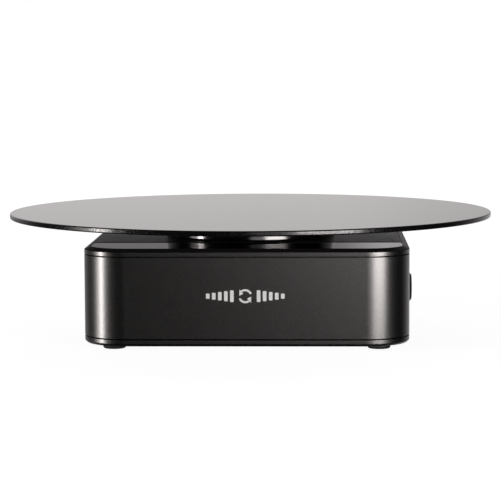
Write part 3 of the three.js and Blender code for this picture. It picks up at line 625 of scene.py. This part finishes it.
def make_bottom_cover():
    low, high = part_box("bottom_cover")
    half = high.x
    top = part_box("body_sleeve")[0].z - JOINT
    black, middle_in = MATERIALS["anodised_black"], half - 1 * MM
    profile = fillet([
        (middle_in, low.z), (BOTTOM_CHAMFER, low.z, 0.15 * MM),
        (0, low.z + BOTTOM_CHAMFER, 0.2 * MM), (0, top, 0.1 * MM), (middle_in, top),
    ], 3)
    cover = skin("bottom_cover_fine", square_rings(profile, half), [black])
    cutters = [rod(TRIPOD_HOLE, 0, top + MM, black)]
    for name in frame["nodes"]:
        if name.startswith("foot_"):
            foot = centre_of(name)
            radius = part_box(name)[1].x - foot.x + FOOT_PLAY
            cutter = rod(radius, 0, low.z + FOOT_POCKET, black, 64)
            cutters.append(move(cutter, Matrix.Translation((foot.x, foot.y, 0))))
    cut(cover, cutters)
    place(cover, "base", "anodised_black", "bottom_cover")


def make_feet():
    for name in sorted(frame["nodes"]):
        if not name.startswith("foot_"):
            continue
        low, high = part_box(name)
        middle = (low + high) / 2
        radius = (high.x - low.x) / 2
        dish, dish_top = radius * FOOT_DISH, low.z + FOOT_DISH_DEPTH
        foot = revolve(name + "_fine", [
            (0, dish_top), (dish, dish_top, 0.1 * MM), (dish + 0.3 * MM, low.z, 0.1 * MM),
            (radius - 0.2 * MM, low.z, 0.8 * MM), (radius, high.z, 0.1 * MM), (0, high.z),
        ], MATERIALS["rubber"], 64)
        move(foot, Matrix.Translation((middle.x, middle.y, 0)))
        place(foot, "base", "rubber", name)


# ---------------------------------------------------------------- controls and ports

BUTTON_RADIUS = 6.2 * MM
BUTTON_CHAMFER = 1.2 * MM
BUTTON_STEM = 1.5 * MM
BUTTON_FLANGE = (1.5 * MM, 0.5 * MM)  # its two faces, behind the wall's inside
BUTTON_DISH = (3.6 * MM, 3.2 * MM)  # radii at the top and foot of the dish's edge
BUTTON_DISH_DEPTH = (0.25 * MM, 0.4 * MM)  # at the edge's foot and in the middle
BEZEL_INNER = 6.45 * MM
PORT_CORNER = 1.4 * MM
USB_SLOT = (4.75 * MM, 1.85 * MM, 1.8 * MM)  # half width, half height, corner
JACK_HOLE = 3.15 * MM


def make_button():
    low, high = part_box("power_button")
    middle = (low + high) / 2
    radius, face_radius = BUTTON_RADIUS, BUTTON_RADIUS - BUTTON_CHAMFER
    flange = (high.z - low.z) / 2
    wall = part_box("body_sleeve")[1].x - WALL
    flange_back, flange_front = (wall - behind for behind in BUTTON_FLANGE)
    dish_top, dish_foot = BUTTON_DISH
    dish_edge, dish_middle = (high.x - depth for depth in BUTTON_DISH_DEPTH)
    button = revolve("power_button_fine", [
        (0, low.x), (BUTTON_STEM, low.x), (BUTTON_STEM, flange_back), (flange, flange_back),
        (flange, flange_front), (radius, flange_front),
        (radius, high.x - BUTTON_CHAMFER, 0.2 * MM), (face_radius, high.x, 0.25 * MM),
        (dish_top, high.x, 0.2 * MM), (dish_foot, dish_edge, 0.2 * MM), (0, dish_middle),
    ], MATERIALS["black_plastic"], 96, steps=6)
    move(button, Matrix.Translation((0, middle.y, middle.z)) @ ALONG_X)
    place(button, "button", "black_plastic", "power_button")


def make_button_bezel():
    low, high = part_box("button_bezel")
    middle = (low + high) / 2
    outer, inner, edge = (high.z - low.z) / 2, BEZEL_INNER, 0.15 * MM
    bezel = revolve("button_bezel_fine", [
        (inner, low.x), (outer, low.x, edge), (outer, high.x, edge), (inner, high.x - 0.1 * MM),
        (inner, low.x),
    ], MATERIALS["turned_black"], 96, closed=True)
    move(bezel, Matrix.Translation((0, middle.y, middle.z)) @ ALONG_X)
    place(bezel, "base", "turned_black", "button_bezel")


def make_port_plate():
    low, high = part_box("port_plate")
    middle, size = (low + high) / 2, (high - low) / 2
    usb, jack = centre_of("usb_socket"), centre_of("sync_jack")
    black, through = MATERIALS["black_plastic"], (low.y - MM, high.y + MM)
    plate = skin("port_plate_fine", [
        rounded_rectangle(size.x, size.z, PORT_CORNER, y) for y in (low.y, high.y)
    ], [black])
    move(plate, Matrix.Translation((middle.x, 0, middle.z)) @ ALONG_Y)
    slot = skin("slot", [rounded_rectangle(*USB_SLOT, y) for y in through], [black])
    move(slot, Matrix.Translation((usb.x, 0, usb.z)) @ ALONG_Y)
    hole = rod(JACK_HOLE, *through, black, 64)
    move(hole, Matrix.Translation((jack.x, 0, jack.z)) @ ALONG_Y)
    cut(plate, [slot, hole])
    bevel(plate, 0.12 * MM)
    place(plate, "base", "black_plastic", "port_plate")


# ---------------------------------------------------------------- front mark

MARK_HEIGHT = 22 * MM  # of the mark's middle above the floor
MARK_PROUD, MARK_SUNK = 0.02 * MM, 0.05 * MM  # off and into the sleeve's face
BARS_EACH_SIDE = 5
BAR_START, BAR_PITCH = 5.2, 2.35  # millimetres from the mark's middle
BAR_HALF_WIDTH = 0.72 * MM
BAR_HALF_HEIGHT, BAR_DROP = 2.3, 0.32  # millimetres; each bar is shorter than the last
ARROW_RADII = (2.75 * MM, 1.95 * MM)
ARROW_STARTS = (0.12 * math.pi, 1.12 * math.pi)
ARROW_SWEEP = 0.62 * math.pi
ARROW_HEAD = (-0.02 * math.pi, 0.24 * math.pi)  # its foot and tip, from the end of the sweep
ARROW_HEAD_REACH = 0.75 * MM
ARROW_STEPS = 14


def flat_piece(points, face):
    """Points [x, z] on the front face at y = -face, as the two outlines of a thin solid."""
    front = -(face + MARK_PROUD)
    back = -(face - MARK_SUNK)
    return [[Vector((x, y, z)) for x, z in points] for y in (front, back)]


def make_front_mark():
    """A generic mark: two rotation arrows between two groups of tick bars."""
    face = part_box("body_sleeve")[1].x

    def around(radius, angle):
        return radius * math.cos(angle), MARK_HEIGHT + radius * math.sin(angle)

    shapes = []
    for side in (-1, 1):
        for i in range(BARS_EACH_SIDE):
            x = side * (BAR_START + BAR_PITCH * i) * MM
            half_height = (BAR_HALF_HEIGHT - BAR_DROP * i) * MM
            ring = rounded_rectangle(BAR_HALF_WIDTH, half_height, 0.3 * MM, 0.0, 4)
            shapes.append([(x + p.x, MARK_HEIGHT + p.y) for p in ring])
    outer, inner = ARROW_RADII
    reach = ARROW_HEAD_REACH
    for start in ARROW_STARTS:
        arc = [start + ARROW_SWEEP * i / ARROW_STEPS for i in range(ARROW_STEPS + 1)]
        shapes.append([around(outer, a) for a in arc] + [around(inner, a) for a in reversed(arc)])
        foot, tip = (start + ARROW_SWEEP + turn for turn in ARROW_HEAD)
        head = [(outer + reach, foot), ((outer + inner) / 2, tip), (inner - reach, foot)]
        shapes.append([around(*point) for point in head])
    mesh = bmesh.new()
    for shape in shapes:
        front, back = ([mesh.verts.new(p) for p in ring] for ring in flat_piece(shape, face))
        mesh.faces.new(front)
        mesh.faces.new(list(reversed(back)))
        for i, vertex in enumerate(front):
            j = (i + 1) % len(front)
            mesh.faces.new((vertex, back[i], back[j], front[j]))
    data = bpy.data.meshes.new("front_mark")
    mesh.to_mesh(data)
    mesh.free()
    data.materials.append(MATERIALS["mark_white"])
    mark = link_mesh("front_mark", data)
    place(mark, "base", None)


# ---------------------------------------------------------------- studio

FLOOR_REACH = 40.0
# painted light: the floor glows, weaker near the object and full further out, where the lamps
# light it less
FLOOR_GLOW = (0.12, 0.5, 0.93, 1.0)  # from 0.93 at 0.12 m from the axis to 1.0 at 0.5 m
BACKDROP_TINT = (1.0, 0.958, 0.963, 1.0)

# Upright soft lights: azimuth in degrees from the front, distance from the axis, width, height
# of the lower and upper edge, radiance and tint. The last two end low, so that the disc doesn't
# mirror them in views from behind.
SOFTBOXES = {
    "strip_left": (-69.5, 1.4, 0.18, -0.3, 0.35, 25, (1.0, 0.955, 0.94)),
    "strip_left_fill": (-81, 1.4, 0.24, -0.3, 0.35, 2.5, (1.0, 0.97, 0.96)),
    "softbox_right": (35.5, 0.60, 0.30, -0.03, 0.11, 12.3, (1.0, 0.955, 0.945)),
    "softbox_spill": (24, 0.64, 0.50, 0.0, 0.11, 1.9, (1.0, 0.97, 0.96)),
}


def make_floor():
    """A plain pale floor that only the camera sees: the object mirrors the world instead."""
    mesh = bpy.data.meshes.new("floor")
    reach = FLOOR_REACH
    corners = [(-reach, -reach, 0), (reach, -reach, 0), (reach, reach, 0), (-reach, reach, 0)]
    mesh.from_pydata(corners, [], [(0, 1, 2, 3)])
    floor = bpy.data.objects.new("floor", mesh)
    bpy.context.scene.collection.objects.link(floor)
    paint = bpy.data.materials.new("floor")
    paint.use_nodes = True
    surface = paint.node_tree.nodes["Principled BSDF"]
    surface.inputs["Base Color"].default_value = (0.5, 0.5, 0.5, 1.0)
    surface.inputs["Roughness"].default_value = 1.0
    surface.inputs["Specular IOR Level"].default_value = 0.0
    surface.inputs["Emission Color"].default_value = (1.0, 1.0, 1.0, 1.0)
    tree = paint.node_tree
    place_on_floor = tree.nodes.new("ShaderNodeTexCoord").outputs["Object"]
    # painted light: the floor's glow, weaker near the object and full further out
    glow = map_range(tree, vector_length(tree, place_on_floor), *FLOOR_GLOW)
    tree.links.new(glow, surface.inputs["Emission Strength"])
    mesh.materials.append(paint)
    floor.visible_glossy = False
    floor.visible_diffuse = False
    floor.visible_shadow = False


def make_world():
    """White to the camera. To the object: a pale backdrop behind it, a dark room in front."""
    world = bpy.data.worlds.new("studio")
    world.use_nodes = True
    bpy.context.scene.world = world
    tree = world.node_tree
    nodes, links = tree.nodes, tree.links
    background = nodes["Background"]
    direction = nodes.new("ShaderNodeTexCoord").outputs["Generated"]
    split = nodes.new("ShaderNodeSeparateXYZ")
    links.new(direction, split.inputs["Vector"])

    def ramp(axis, start, end, low, high):
        """Goes from low to high as the direction's part along an axis goes from start to end."""
        return map_range(tree, split.outputs[axis], start, end, low, high, "SMOOTHSTEP")

    def multiply(a, b):
        node = nodes.new("ShaderNodeMath")
        node.operation = "MULTIPLY"
        links.new(a, node.inputs[0])
        links.new(b, node.inputs[1])
        return node.outputs["Value"]

    def mix(factor, a, b):
        node = nodes.new("ShaderNodeMix")
        links.new(factor, node.inputs["Factor"])
        links.new(a, node.inputs["A"])
        links.new(b, node.inputs["B"])
        return node.outputs["Result"]

    # Dark in front of the object and pale behind it. To the right, it is a little darker above
    # the horizon, brighter below it, and dimmer far out.
    behind = ramp("Y", 0.3, 0.98, 0.012, 0.765)
    above = ramp("X", 0.0, 0.085, 1.0, 0.86)
    below = ramp("X", 0.005, 0.035, 0.56, 1.25)
    aside = ramp("X", 0.12, 0.6, 1.0, 0.6)
    height = mix(ramp("Z", -0.06, 0.02, 0.0, 1.0), below, above)
    level = multiply(multiply(behind, aside), height)
    backdrop = nodes.new("ShaderNodeBackground")
    links.new(level, backdrop.inputs["Strength"])
    backdrop.inputs["Color"].default_value = BACKDROP_TINT
    blend = nodes.new("ShaderNodeMixShader")
    links.new(nodes.new("ShaderNodeLightPath").outputs["Is Camera Ray"], blend.inputs[0])
    links.new(backdrop.outputs["Background"], blend.inputs[1])
    links.new(background.outputs["Background"], blend.inputs[2])
    links.new(blend.outputs["Shader"], nodes["World Output"].inputs["Surface"])
    background.inputs["Color"].default_value = (1.0, 1.0, 1.0, 1.0)


def make_softbox(name, azimuth, distance, width, bottom, top, radiance, tint):
    """An upright rectangular light that faces the axis."""
    light = bpy.data.lights.new(name, "AREA")
    light.shape = "RECTANGLE"
    light.size = width
    light.size_y = top - bottom
    light.energy = radiance * math.pi * width * (top - bottom)
    light.color = tint
    lamp = bpy.data.objects.new(name, light)
    bpy.context.scene.collection.objects.link(lamp)
    angle = math.radians(azimuth)
    spot = Vector((distance * math.sin(angle), -distance * math.cos(angle), (bottom + top) / 2))
    towards = Vector((-spot.x, -spot.y, 0))
    aim = towards.to_track_quat("-Z", "Y").to_matrix().to_4x4()
    lamp.matrix_world = Matrix.Translation(spot) @ aim
    lamp.visible_camera = False


# ---------------------------------------------------------------- assembly

bpy.context.scene.view_settings.view_transform = "Standard"
dress_cad_nodes()
make_disc()
make_hub()
make_sleeve()
make_top_cover()
make_panels()
make_bottom_cover()
make_feet()
make_button()
make_button_bezel()
make_port_plate()
make_front_mark()
make_floor()
make_world()
for softbox, settings in SOFTBOXES.items():
    make_softbox(softbox, *settings)
